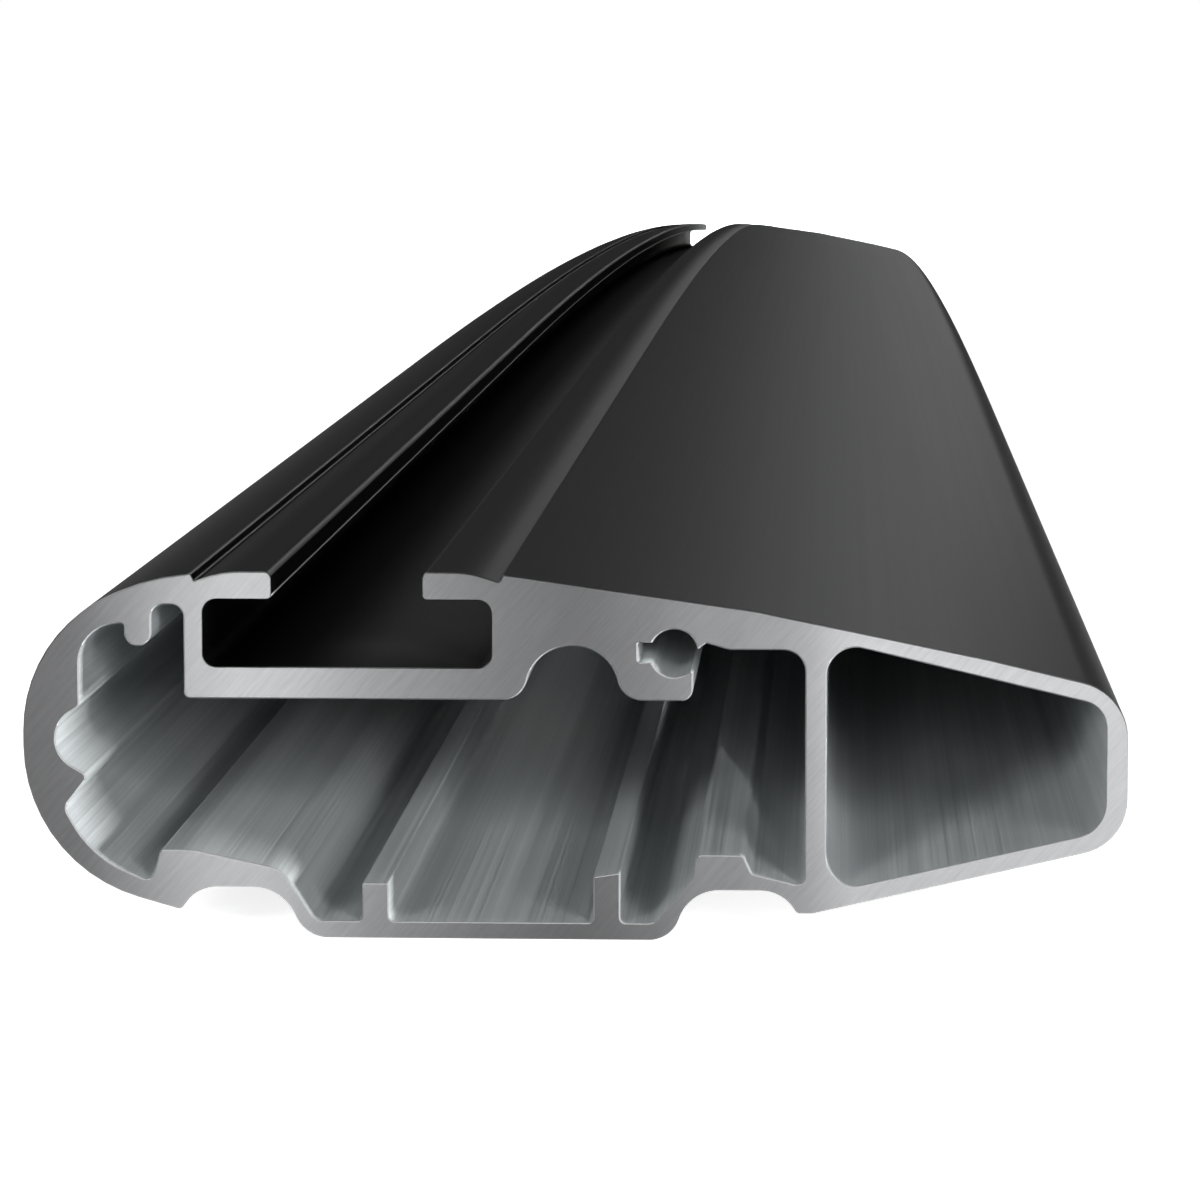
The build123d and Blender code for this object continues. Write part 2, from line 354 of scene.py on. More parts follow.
# Front chamber, nose side: a slot, a hooked rib, and three pockets with a tooth between each two
finger_slot_end = slot_start - slot_side_thickness
finger_slot_start = finger_slot_end - finger_slot_width
finger_slot_ceiling = lip_height - finger_slot_top
finger_slot_radius = min(finger_slot_width, hook_width) * finger_slot_round_share
hook_start = finger_slot_start - hook_width
pocket_depth = middle_pocket_round / sin(radians(middle_pocket_flare)) - middle_pocket_round
middle_pocket = (middle_pocket_wall - pocket_depth, middle_pocket_height)
upper_pocket_foot = (upper_pocket_wall, middle_pocket_height)
upper_tooth = meet(middle_pocket, middle_pocket_flare, upper_pocket_foot, upper_pocket_slope)
tooth_drop = (tooth_reach - middle_pocket[0]) * tan(radians(middle_pocket_flare))
lower_tooth = (tooth_reach, middle_pocket_height - tooth_drop)
lower_pocket_foot = (lower_pocket_wall, lower_pocket_height)
lower_pocket = meet(lower_tooth, lower_tooth_slope, lower_pocket_foot, lower_pocket_slope)

nose_side = [
    ((finger_slot_end, floor_underside), floor_edge_radius),
    ((finger_slot_end, finger_slot_ceiling), finger_slot_radius),
    ((finger_slot_start, finger_slot_ceiling), finger_slot_radius),
    ((finger_slot_start, hook_height), hook_round),
    ((hook_start, hook_height), hook_round),
    ((hook_start, upper_pocket_height), hook_base_radius),
    ((upper_pocket_wall, upper_pocket_height), upper_pocket_round),
    (upper_tooth, tooth_round),
    (middle_pocket, middle_pocket_round),
    (lower_tooth, tooth_round),
    (lower_pocket, lower_pocket_round),
    ((chin_wall_reach, chin_wall_height), chin_wall_radius),
    ((pit_reach, pit_height), pit_round),
]

# Front chamber, floor: a step over the front recess, two ribs, and a ledge over the rear recess
step_bend = (step_start + step_flat, step_height)
step_edge_across = front_recess_corner - step_edge_setback
step_edge_fall = (step_edge_across - step_bend[0]) * tan(radians(step_slope))
rear_rib_low = rear_rib_height - rib_width * tan(radians(rear_rib_bevel))
ledge_end = ledge_start + ledge_width
ledge_fall = (ledge_height - ledge_seat_height) / tan(radians(ledge_end_slope))
ledge_seat = (ledge_end + ledge_fall, ledge_seat_height)
web_base = ledge_seat_height - (web_position - ledge_seat[0]) * tan(radians(ledge_seat_slope))

chamber_floor = [
    ((step_start, step_height), step_round),
    (step_bend, step_bend_radius),
    ((step_edge_across, step_height - step_edge_fall), step_edge_radius),
    ((front_keel_corner + step_foot_setback, keel_thickness), floor_round),
    ((front_rib_position, keel_thickness), rib_base_radius),
    ((front_rib_position, front_rib_height), rib_edge_radius),
    ((front_rib_position + rib_width, front_rib_height), rib_edge_radius),
    ((front_rib_position + rib_width, keel_thickness), rib_base_radius),
    ((rear_rib_position, keel_thickness), rib_base_radius),
    ((rear_rib_position, rear_rib_low), rib_edge_radius),
    ((rear_rib_position + rib_width, rear_rib_height), rib_edge_radius),
    ((rear_rib_position + rib_width, keel_thickness), rib_base_radius),
    ((rear_keel_corner - ledge_foot_setback, keel_thickness), floor_round),
    ((ledge_start - ledge_lean, keel_thickness + ledge_rise), ledge_round),
    ((ledge_start, ledge_height), ledge_round),
    ((ledge_end, ledge_height), ledge_round),
    (ledge_seat, rib_base_radius),
    ((web_position, web_base), web_base_radius),
]

# Front chamber, ceiling: from the web over the port's lip and the arch back to the slot
arch_slope = steepest(arch_height, arch_radius, arch_flare_radius)
arch_half = reach(arch_radius, arch_slope) + arch_flat / 2
flare_half = arch_half + arch_height / tan(radians(arch_slope))
arch_top = floor_underside + arch_height
port_gap_start = port_height - port_gap_below
port_lip = (port_position + port_lip_reach, port_height + port_gap_above)
port_notch = (port_lip[0] + port_lip_width, port_lip[1] + port_lip_depth)

chamber_ceiling = [
    ((web_position, ceiling_height), web_top_radius),
    ((ceiling_start, ceiling_height), ceiling_edge_radius),
    (port_notch, sharp_radius),
    (port_lip, sharp_radius),
    ((port_position + port_wall, port_gap_start), sharp_radius),
    ((port_position + port_wall, floor_underside), port_corner_radius),
    ((arch_position + flare_half, floor_underside), arch_flare_radius),
    ((arch_position + arch_half, arch_top), arch_radius),
    ((arch_position - arch_half, arch_top), arch_radius),
    ((arch_position - flare_half, floor_underside), arch_flare_radius),
]

front_chamber = nose_side + chamber_floor + chamber_ceiling

# Tail chamber: its top and floor follow the outside at their own wall
tail_chamber_start = web_position + web_thickness
tail_chamber_end = bar_width - tail_thickness
top_at_tail = tail_top_height - panel_thickness / cos(radians(panel_rear_slope))
floor_at_tail = tail_bottom[1] + tail_floor_thickness / cos(radians(tail_under_slope))


def along_top(across):
    """Height of the tail chamber's top at a distance from the nose."""
    return top_at_tail + (bar_width - across) * tan(radians(panel_rear_slope))


def along_floor(across):
    """Height of the tail chamber's floor at a distance from the nose."""
    return floor_at_tail - (bar_width - across) * tan(radians(tail_under_slope))


tail_chamber = [
    ((tail_chamber_start, along_floor(tail_chamber_start)), tail_chamber_front_radius),
    ((tail_chamber_end, along_floor(tail_chamber_end)), tail_chamber_lower_radius),
    ((tail_chamber_end, along_top(tail_chamber_end)), tail_chamber_upper_radius),
    ((tail_chamber_start, along_top(tail_chamber_start)), tail_chamber_front_radius),
]

# Path of the keel: straight, then bent evenly down to the far end, with both ends on one level
bend_turn = (bar_length - straight_length) / bend_radius
run_forward = straight_length + bend_radius * sin(bend_turn)
run_drop = bend_radius * (1 - cos(bend_turn))
start_rise = atan2(run_drop, run_forward)
end_fall = bend_turn - start_rise
chord = hypot(run_forward, run_drop)
start_lean = lip_height * sin(start_rise)
end_lean = lip_height * sin(end_fall)
start_along = -(chord + end_lean - start_lean) / 2
straight_end = (
    start_along + straight_length * cos(start_rise),
    straight_length * sin(start_rise),
)

# The port opens into the front chamber: its round and key are let into the boss between lip and corner
key_low = port_key_rise - port_key_width / 2
key_high = port_key_rise + port_key_width / 2
key_low_angle = 180 + degrees(asin(-key_low / port_radius))
key_high_angle = 180 - degrees(asin(key_high / port_radius))
port_centre = (port_position, port_height)
key_end = port_position - port_key_reach
port_outline = [
    *arc(port_centre, port_radius, port_first_angle, key_high_angle),
    (key_end + sharp_radius, port_height + key_high, 0.0, -1.0),
    (key_end, port_height + key_high - sharp_radius, 1.0, 0.0),
    (key_end, port_height + key_low + sharp_radius, 1.0, 0.0),
    (key_end + sharp_radius, port_height + key_low, 0.0, 1.0),
    *arc(port_centre, port_radius, key_low_angle, port_last_angle),
]
port_start = port_height + port_radius * sin(radians(port_first_angle))
port_stop = port_height + port_radius * sin(radians(port_last_angle)) - sharp_radius
tip = (port_position + port_wall, port_gap_start)
front_outline = rounded(front_chamber)


def nearest(outline, place):
    """Number of an outline's point that lies nearest to a place."""
    return min(range(len(outline)), key=lambda i: dist(outline[i][:2], place))


tip_index = nearest(front_outline, tip)
lip_index = nearest(front_outline, port_lip)
while front_outline[lip_index + 1][1] > port_start:
    lip_index += 1
while front_outline[tip_index - 1][1] < port_stop:
    tip_index -= 1
front_outline[lip_index + 1:tip_index] = port_outline

# Where the coat's painted highlights and painted shade change beside edges and the front groove; edge_facing
# is for the chambers' sawn edges
groove_shade = 0.4
groove_corner = (front_groove, groove_floor)
groove_corner_reach = 0.25
edge_facing = 0.35
lip_top_highlight_share = 0.7
groove_highlight_reach = 2 * sharp_radius

# One more point on the ramp's foot, so that the shade of the front groove can end there
outside_outline = rounded(outside)
from_corner = [dist(point[:2], groove_corner) for point in outside_outline]
groove_foot = max(i for i, away in enumerate(from_corner) if away < groove_corner_reach)
ramp_start = (front_groove + groove_shade, groove_floor + groove_shade * tan(radians(ramp_slope)))
outside_outline.insert(groove_foot + 1, (*ramp_start, *outside_outline[groove_foot][2:]))
outlines = [outside_outline, front_outline, rounded(tail_chamber)]

# Finishes, in the order of the mesh's material slots
COAT, SHADED, PAINTED_GROOVE_HIGHLIGHT, PAINTED_LIP_TOP_HIGHLIGHT, PAINTED_LIP_UNDER_HIGHLIGHT, DULL, LIP_SHEEN, SLOT, MILL, CUT, EDGE = range(11)


def station(along):
    """Place of the keel along and above the ground, and its slope, at a distance from the near end."""
    if along <= straight_length:
        return start_along + along * cos(start_rise), along * sin(start_rise), start_rise
    slope = start_rise - (along - straight_length) / bend_radius
    forward = straight_end[0] + bend_radius * (sin(start_rise) - sin(slope))
    height = straight_end[1] + bend_radius * (cos(slope) - cos(start_rise))
    return forward, height, slope


def world_point(along, across, up):
    """A point of the bar in metres, from its distance along the bar and its place in the section."""
    forward, height, slope = station(along)
    side = (across - bar_width / 2) * MM
    return Vector((side, (forward - up * sin(slope)) * MM, (height + up * cos(slope)) * MM))


def world_direction(along, across, up):
    """A direction of the section as it stands at a distance along the bar."""
    slope = station(along)[2]
    return Vector((across, -up * sin(slope), up * cos(slope)))


def world_axis(along):
    """Direction of the bar at a distance from the near end, towards the far end."""
    slope = station(along)[2]
    return Vector((0.0, cos(slope), sin(slope)))


def ring_places():
    """Distances along the bar at which the section is repeated, between the two deburred ends."""
    straight = [deburr + (straight_length - deburr) * k / straight_stations for k in range(straight_stations)]
    bend_length = bar_length - deburr - straight_length
    bend = [straight_length + bend_length * k / bend_stations for k in range(bend_stations + 1)]
    return straight + bend


def bright_edge(point):
    """Whether the wall at a point faces up or to the right, so that its sawn edge catches the light."""
    return point[2] + point[3] > edge_facing


def coat_finish(across, up):
    """Finish of the coat at a place of the section: painted highlights on edges, painted shade in the front
    groove and on the front lip's wall, a flat grey in place of the rear lip edge's highlight, a painted sheen
    on the rear lip, and painted shade and light in the slot.
    """
    place = (across, up)
    # Painted highlight: a light grey line along the front groove's top edge and along its bottom corner
    if min(dist(place, front_groove_edge), dist(place, groove_corner)) < groove_highlight_reach:
        return PAINTED_GROOVE_HIGHLIGHT
    # Painted highlight: a pale grey line along the front lip's lower edge at the slot's mouth
    if dist(place, (mouth_start, lip_underside)) < lip_under_radius:
        return PAINTED_LIP_UNDER_HIGHLIGHT
    # Painted highlight: a grey line along the front lip's top edge at the slot's mouth
    if dist(place, (mouth_start, lip_height)) < lip_top_highlight_share * lip_top_radius:
        return PAINTED_LIP_TOP_HIGHLIGHT
    # Painted shade: the rear lip's top edge gets a flat grey with little gloss in place of the highlight the
    # lamps give it
    if dist(place, (mouth_end, lip_height)) < lip_top_radius:
        return DULL
    # Painted sheen over the top of the rear lip, growing towards the groove
    if mouth_end < across < rear_groove and up > lip_underside:
        return LIP_SHEEN
    # Painted shade and painted light in the slot: dark under the front lip, lighter towards the back and the
    # far end
    if slot_start <= across <= slot_end and up <= lip_underside:
        return SLOT
    # Painted shade: the front lip's wall below its top edge is made black
    if abs(across - mouth_start) < lip_top_radius / 2 and up < lip_height - lip_top_radius / 2:
        return SHADED
    # Painted shade in the front groove and on the foot of the ramp beside it
    if -groove_overhang <= across - front_groove <= groove_shade and up > groove_floor - sharp_radius:
        return SHADED
    return COAT


def finish_of(number, bevel, point, after):
    """Finish of one strip of wall, between a point of an outline and the one after it."""
    if number == 0:
        middle = ((point[0] + after[0]) / 2, (point[1] + after[1]) / 2)
        return CUT if bevel else coat_finish(*middle)
    return EDGE if bevel and bright_edge(point) else MILL


def end_face():
    """Triangles of a sawn end, counted through all outlines, each turned to face back along the bar."""
    loops = [[(x - deburr * a, z - deburr * b) for x, z, a, b in outline] for outline in outlines]
    every = [point for loop in loops for point in loop]
    facing = []
    for a, b, c in tessellate_polygon([[Vector((x, z, 0)) for x, z in loop] for loop in loops]):
        turn = (every[b][0] - every[a][0]) * (every[c][1] - every[a][1])
        turn -= (every[b][1] - every[a][1]) * (every[c][0] - every[a][0])
        facing.append((a, b, c) if turn > 0 else (a, c, b))
    return facing


def crossbar_mesh():
    """The bar as one closed mesh: its walls, a small bevel round each sawn end, and the two end faces."""
    places = [0.0, *ring_places(), bar_length]
    last = len(places) - 1
    ring_size = sum(len(outline) for outline in outlines)
    end_normals = {0: -world_axis(0.0), last: world_axis(bar_length)}
    points, marks, faces, slots, normals = [], [], [], [], []

    for ring, along in enumerate(places):
        inset = deburr if ring in end_normals else 0.0
        for outline in outlines:
            for across, up, out_across, out_up in outline:
                flat = (across - inset * out_across, up - inset * out_up)
                points.append(world_point(along, *flat))
                marks.extend((flat[0] * MM, along * MM, flat[1] * MM))

    def wall_normal(ring, outline, i):
        """Normal at a point of the walls; the coat's end bevels and the bright edges take the end's own."""
        if ring in end_normals and (outline is outlines[0] or bright_edge(outline[i])):
            return end_normals[ring]
        return world_direction(places[ring], outline[i][2], outline[i][3])

    for ring in range(last):
        bevel = ring in (0, last - 1)
        first = 0
        for number, outline in enumerate(outlines):
            count = len(outline)
            for i in range(count):
                j = (i + 1) % count
                low = ring * ring_size + first
                high = low + ring_size
                faces.append((low + i, low + j, high + j, high + i))
                slots.append(finish_of(number, bevel, outline[i], outline[j]))
                corners = ((ring, i), (ring, j), (ring + 1, j), (ring + 1, i))
                normals.extend(wall_normal(at, outline, k) for at, k in corners)
            first += count

    for near in end_face():
        faces.append(near)
        faces.append(tuple(last * ring_size + i for i in reversed(near)))
        slots.extend((CUT, CUT))
        normals.extend([end_normals[0]] * 3 + [end_normals[last]] * 3)

    mesh = bpy.data.meshes.new("crossbar_extrusion")
    mesh.from_pydata(points, [], faces)
    place = mesh.attributes.new("place", "FLOAT_VECTOR", "POINT")
    place.data.foreach_set("vector", marks)
    mesh.polygons.foreach_set("material_index", slots)
    mesh.shade_smooth()
    mesh.normals_split_custom_set(normals)
    return mesh


class Nodes:
    """A material's node tree, with short calls for the few kinds of node that the finishes use."""

    def __init__(self, name):
        self.material = bpy.data.materials.new(name)
        self.material.use_nodes = True
        self.tree = self.material.node_tree
        self.shader = self.tree.nodes["Principled BSDF"]
        self.output = self.tree.nodes["Material Output"]

    def new(self, kind, **values):
        node = self.tree.nodes.new(kind)
        for name, value in values.items():
            setattr(node, name, value)
        return node

    def link(self, source, target):
        self.tree.links.new(source, target)

    def set(self, name, value):
        """Give one of the shader's inputs a constant."""
        self.shader.inputs[name].default_value = value

    def place(self, scale, turn=0.0):
        """The place on the bar, turned in the plane of the section and stretched by the scale."""
        mark = self.new("ShaderNodeAttribute", attribute_name="place")
        turned = self.new("ShaderNodeVectorRotate", rotation_type="Y_AXIS")
        turned.inputs["Angle"].default_value = radians(turn)
        self.link(mark.outputs["Vector"], turned.inputs["Vector"])
        stretched = self.new("ShaderNodeVectorMath", operation="MULTIPLY")
        stretched.inputs[1].default_value = scale
        self.link(turned.outputs["Vector"], stretched.inputs[0])
        return stretched.outputs["Vector"]

    def part(self, axis):
        """One part of the place on the bar in metres: X is across, Y is along, Z is up."""
        mark = self.new("ShaderNodeAttribute", attribute_name="place")
        split = self.new("ShaderNodeSeparateXYZ")
        self.link(mark.outputs["Vector"], split.inputs["Vector"])
        return split.outputs[axis]

    def noise(self, scale, detail, turn=0.0):
        """Noise with as many waves in a metre as the scale says across, along and up the bar."""
        node = self.new("ShaderNodeTexNoise")
        node.inputs["Scale"].default_value = 1.0
        node.inputs["Detail"].default_value = detail
        self.link(self.place(scale, turn), node.inputs["Vector"])
        return node.outputs["Fac"]

    def between(self, value, low, high, start=0.3, end=0.7):
        """A number that goes from low to high as the value goes from start to end."""
        node = self.new("ShaderNodeMapRange")
        node.inputs["From Min"].default_value = start
        node.inputs["From Max"].default_value = end
        node.inputs["To Min"].default_value = low
        node.inputs["To Max"].default_value = high
        self.link(value, node.inputs["Value"])
        return node.outputs["Result"]

    def math(self, operation, first, second):
        node = self.new("ShaderNodeMath", operation=operation)
        self.link(first, node.inputs[0])
        self.link(second, node.inputs[1])
        return node.outputs["Value"]

    def tint(self, value, dark, light):
        """A colour that goes from dark to light as the value goes from 0 to 1."""
        node = self.new("ShaderNodeMix", data_type="RGBA")
        node.inputs["A"].default_value = (*dark, 1.0)
        node.inputs["B"].default_value = (*light, 1.0)
        self.link(value, node.inputs["Factor"])
        return node.outputs["Result"]

    def finish(self, colour, rough):
        """Use a colour and a roughness for the shader."""
        self.link(colour, self.shader.inputs["Base Color"])
        self.link(rough, self.shader.inputs["Roughness"])

    def bump(self, value, height):
        node = self.new("ShaderNodeBump")
        node.inputs["Strength"].default_value = 1.0
        node.inputs["Distance"].default_value = height
        self.link(value, node.inputs["Height"])
        self.link(node.outputs["Normal"], self.shader.inputs["Normal"])


# Coat: waves of its grain in a metre, height of the grain, and the colours of its finishes; besides the plain
# black these are painted highlights and painted shade
grain_scale = (9000.0, 9000.0, 9000.0)
grain_detail = 2.0
metal_detail = 3.0
grain_height = 0.000002
coat_line_scale = (1500.0, 3.0, 1500.0)
coat_line_rough = (0.205, 0.22)
coat_grain_rough = (0.20, 0.24)
coat_spread = 0.15
coat_specular = 0.5
coat_black = (0.009, 0.009, 0.0095)
# Painted highlight of the front groove's edges
groove_highlight_grey = (0.10, 0.10, 0.10)
# Painted highlight of the front lip's top edge
lip_top_highlight_grey = (0.03, 0.03, 0.03)
# Painted highlight of the front lip's lower edge
lip_under_highlight_grey = (0.28, 0.28, 0.28)
shaded_black = (0.001, 0.001, 0.001)
shaded_specular = 0.02
# Painted shade: flat grey of the rear lip's top edge, in place of its highlight; the slot's coat uses the
# same specular
dull_black = (0.022, 0.022, 0.022)
dull_specular = 0.1

# Coat on the rear lip and in the slot: where the lip's painted sheen, and the slot's painted shade and
# painted light, begin and end across the section
grain_spread = 0.0004
sheen_width = 1.7
lip_sheen_grey = (0.055, 0.055, 0.055)
lip_rough = (0.41, 0.45)
slot_dark_until = 19.9
slot_light_from = 25.0
slot_painted_shade = (0.0005, 0.0005, 0.0005)
slot_painted_light = (0.079, 0.079, 0.079)
slot_rough = (0.5, 0.6)

# The slot's painted light grows from the near end to half its strength, and further on to its full strength
slot_near_share = (0.12, 0.42)
slot_far_share = (0.0, 0.58)
slot_near_length = 0.025
slot_far_length = 0.25

# Bare aluminium of the chambers
mill_metallic = 0.25
mill_line_scale = (5200.0, 9.0, 5200.0)
mill_line_detail = 4.0
mill_band_scale = (700.0, 3.0, 700.0)
mill_line_share = 0.6
mill_dark = (0.275, 0.291, 0.296)
mill_light = (0.505, 0.53, 0.537)
mill_rough = (0.34, 0.46)
mill_height = 0.00001

# Sawn and brushed end; each band is a place across the section with the brightness of the painted reflection
# there, and the end is painted darker towards the bottom as painted shade
brush_slant = 48.0
scratch_scale = (600.0, 600.0, 13000.0)
streak_scale = (200.0, 200.0, 3600.0)
scratch_share = 0.55
cut_dark = (0.52, 0.524, 0.533)
cut_light = (0.68, 0.686, 0.698)
cut_rough = (0.36, 0.48)
cut_height = 0.000008
bottom_shade_factor = 0.84
bottom_shade_height = 0.018
cut_reflection_bands = (
    (0.0, 0.26),
    (6.0, 0.41),
    (15.5, 0.92),
    (25.0, 0.58),
    (38.5, 0.30),
    (46.0, 0.385),
    (49.0, 0.48),
    (52.5, 0.53),
    (57.5, 0.73),
    (62.5, 1.19),
    (67.0, 1.33),
)

# Deburred edge of the chambers
edge_scale = (900.0, 900.0, 900.0)
edge_dark = (0.165, 0.168, 0.17)
edge_light = (0.235, 0.238, 0.24)
edge_rough = (0.34, 0.42)


def coat_material(name, black, specular):
    """Satin coat: a fine grain, with very faint lengthwise lines of the extrusion beneath."""
    nodes = Nodes(name)
    nodes.set("Specular IOR Level", specular)
    lines = nodes.noise(coat_line_scale, grain_detail)
    grain = nodes.noise(grain_scale, grain_detail)
    low = [(1 - coat_spread) * part for part in black]
    high = [(1 + coat_spread) * part for part in black]
    line_rough = nodes.between(lines, *coat_line_rough)
    grain_rough = nodes.between(grain, *coat_grain_rough)
    nodes.finish(nodes.tint(lines, low, high), nodes.math("ADD", line_rough, grain_rough))
    nodes.bump(grain, grain_height)
    return nodes.material


def grainy_across(nodes, grain):
    """Place across the section in metres, made a little uneven by the grain."""
    return nodes.math("ADD", nodes.part("X"), nodes.between(grain, -grain_spread, grain_spread))


def lip_sheen_material():
    """Coat on top of the rear lip: a painted grey sheen that grows towards the groove."""
    nodes = Nodes("lip_sheen_coat")
    grain = nodes.noise(grain_scale, grain_detail)
    across = grainy_across(nodes, grain)
    sheen = nodes.between(across, 0.0, 1.0, (rear_groove - sheen_width) * MM, rear_groove * MM)
    nodes.finish(nodes.tint(sheen, coat_black, lip_sheen_grey), nodes.between(grain, *lip_rough))
    nodes.bump(grain, grain_height)
    return nodes.material


def slot_light_and_shade_material():
    """Coat inside the slot, dull: painted shade at the front under the front lip, and painted light that
    grows towards the back and the far end.
    """
    nodes = Nodes("slot_light_and_shade_coat")
    nodes.set("Specular IOR Level", dull_specular)
    grain = nodes.noise(grain_scale, grain_detail)
    across = grainy_across(nodes, grain)
    grey = nodes.between(across, 0.0, 1.0, slot_dark_until * MM, slot_light_from * MM)
    along = nodes.part("Y")
    near = nodes.between(along, *slot_near_share, 0.0, slot_near_length)
    far = nodes.between(along, *slot_far_share, slot_near_length, slot_far_length)
    shade = nodes.math("MULTIPLY", grey, nodes.math("ADD", near, far))
    nodes.finish(nodes.tint(shade, slot_painted_shade, slot_painted_light), nodes.between(grain, *slot_rough))
    return nodes.material


def mill_material():
    """Bare aluminium as it leaves the die: a cool grey with fine lengthwise lines and a soft sheen."""
    nodes = Nodes("mill_finish")
    nodes.set("Metallic", mill_metallic)
    lines = nodes.noise(mill_line_scale, mill_line_detail)
    bands = nodes.noise(mill_band_scale, metal_detail)
    line_part = nodes.between(lines, 0.0, mill_line_share)
    band_part = nodes.between(bands, 0.0, 1 - mill_line_share)
    both = nodes.math("ADD", line_part, band_part)
    nodes.finish(nodes.tint(both, mill_dark, mill_light), nodes.between(lines, *mill_rough))
    nodes.bump(lines, mill_height)
    return nodes.material


def painted_reflection_bands(nodes):
    """Painted reflection on the cut: how bright it is painted, from band to band across the section."""
    bands = nodes.new("ShaderNodeValToRGB")
    bands.color_ramp.interpolation = "CARDINAL"
    stops = bands.color_ramp.elements
    for spare in list(stops)[1:]:
        stops.remove(spare)
    stops[0].color = (*[cut_reflection_bands[0][1]] * 3, 1.0)
    for across, shine in cut_reflection_bands[1:]:
        stops.new(across / bar_width).color = (shine, shine, shine, 1.0)
    nodes.link(nodes.between(nodes.part("X"), 0.0, 1.0, 0.0, bar_width * MM), bands.inputs["Fac"])
    return bands.outputs["Color"]


def cut_material():
    """Sawn and brushed end: fine slanting scratches, under broad bands of painted reflection and a painted
    shade towards the bottom.
    """
    nodes = Nodes("brushed_cut")
    nodes.set("Metallic", 1.0)
    scratches = nodes.noise(scratch_scale, metal_detail, brush_slant)
    streaks = nodes.noise(streak_scale, metal_detail, brush_slant)
    scratch_part = nodes.between(scratches, 0.0, scratch_share)
    streak_part = nodes.between(streaks, 0.0, 1 - scratch_share)
    both = nodes.math("ADD", scratch_part, streak_part)
    banded = nodes.new("ShaderNodeVectorMath", operation="MULTIPLY")
    nodes.link(nodes.tint(both, cut_dark, cut_light), banded.inputs[0])
    nodes.link(painted_reflection_bands(nodes), banded.inputs[1])
    # Painted shade: the end is darker towards the bottom
    shaded_low = nodes.new("ShaderNodeVectorMath", operation="SCALE")
    nodes.link(banded.outputs["Vector"], shaded_low.inputs[0])
    nodes.link(nodes.between(nodes.part("Z"), bottom_shade_factor, 1.0, 0.0, bottom_shade_height), shaded_low.inputs["Scale"])
    nodes.finish(shaded_low.outputs["Vector"], nodes.between(scratches, *cut_rough))
    nodes.bump(both, cut_height)
    return nodes.material


def edge_material():
    """The deburred edge between a sawn end and a chamber: bright, freshly cut metal."""
    nodes = Nodes("bright_edge")
    nodes.set("Metallic", mill_metallic)
    wear = nodes.noise(edge_scale, metal_detail)
    nodes.finish(nodes.tint(wear, edge_dark, edge_light), nodes.between(wear, *edge_rough))
    return nodes.material


finishes = [
    coat_material("black_satin_coat", coat_black, coat_specular),
    coat_material("shaded_coat", shaded_black, shaded_specular),
    coat_material("groove_highlight_coat", groove_highlight_grey, coat_specular),
    coat_material("lip_top_highlight_coat", lip_top_highlight_grey, coat_specular),
    coat_material("lip_under_highlight_coat", lip_under_highlight_grey, coat_specular),
    coat_material("dull_coat", dull_black, dull_specular),
    lip_sheen_material(),
    slot_light_and_shade_material(),
    mill_material(),
    cut_material(),
    edge_material(),
]
crossbar = bpy.data.objects.new("crossbar_extrusion", crossbar_mesh())
bpy.context.scene.collection.objects.link(crossbar)
for finish in finishes:
    crossbar.data.materials.append(finish)
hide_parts("crossbar")
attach(crossbar, "root")

# Floor: its size, its lit colour, and its own white, which is full from a distance of the bar's middle
floor_size = 40.0
floor_colour = 0.6
floor_glow = 0.82
floor_near = 0.9
floor_far = 2.6


def seen_directly(nodes):
    """1 for the camera's rays, and for those that reach it by a mirror or through glass; otherwise 0."""
    path = nodes.new("ShaderNodeLightPath")
    total = path.outputs["Is Camera Ray"]
    for kind in ("Is Glossy Ray", "Is Transmission Ray"):
        total = nodes.math("MAXIMUM", total, path.outputs[kind])
    return total


def make_floor():
    """Plain pale floor: mostly its own white, with enough lit colour left to hold the bar's shadow."""
    mesh = bpy.data.meshes.new("floor")
    half = floor_size / 2
    corners = [(-half, -half, 0), (half, -half, 0), (half, half, 0), (-half, half, 0)]
    mesh.from_pydata(corners, [], [(0, 1, 2, 3)])
    floor = bpy.data.objects.new("floor", mesh)
    bpy.context.scene.collection.objects.link(floor)
    nodes = Nodes("floor_white")
    nodes.set("Base Color", (floor_colour, floor_colour, floor_colour, 1.0))
    nodes.set("Roughness", 1.0)
    nodes.set("Specular IOR Level", 0.0)
    ground = nodes.new("ShaderNodeNewGeometry")
    away = nodes.new("ShaderNodeVectorMath", operation="LENGTH")
    nodes.link(ground.outputs["Position"], away.inputs[0])
    level = nodes.between(away.outputs["Value"], floor_glow, 1.0, floor_near, floor_far)
    glow = nodes.new("ShaderNodeEmission")
    nodes.link(nodes.math("MULTIPLY", seen_directly(nodes), level), glow.inputs["Strength"])
    both = nodes.new("ShaderNodeAddShader")
    nodes.link(nodes.shader.outputs["BSDF"], both.inputs[0])
    nodes.link(glow.outputs["Emission"], both.inputs[1])
    nodes.link(both.outputs["Shader"], nodes.output.inputs["Surface"])
    mesh.materials.append(nodes.material)


# Studio: white to the camera; what it sheds on the bar is weak at the sides and grows overhead
studio_white = 1.0
studio_sides = 0.015
studio_overhead = 0.25
overhead_start = 0.5
overhead_full = 0.95


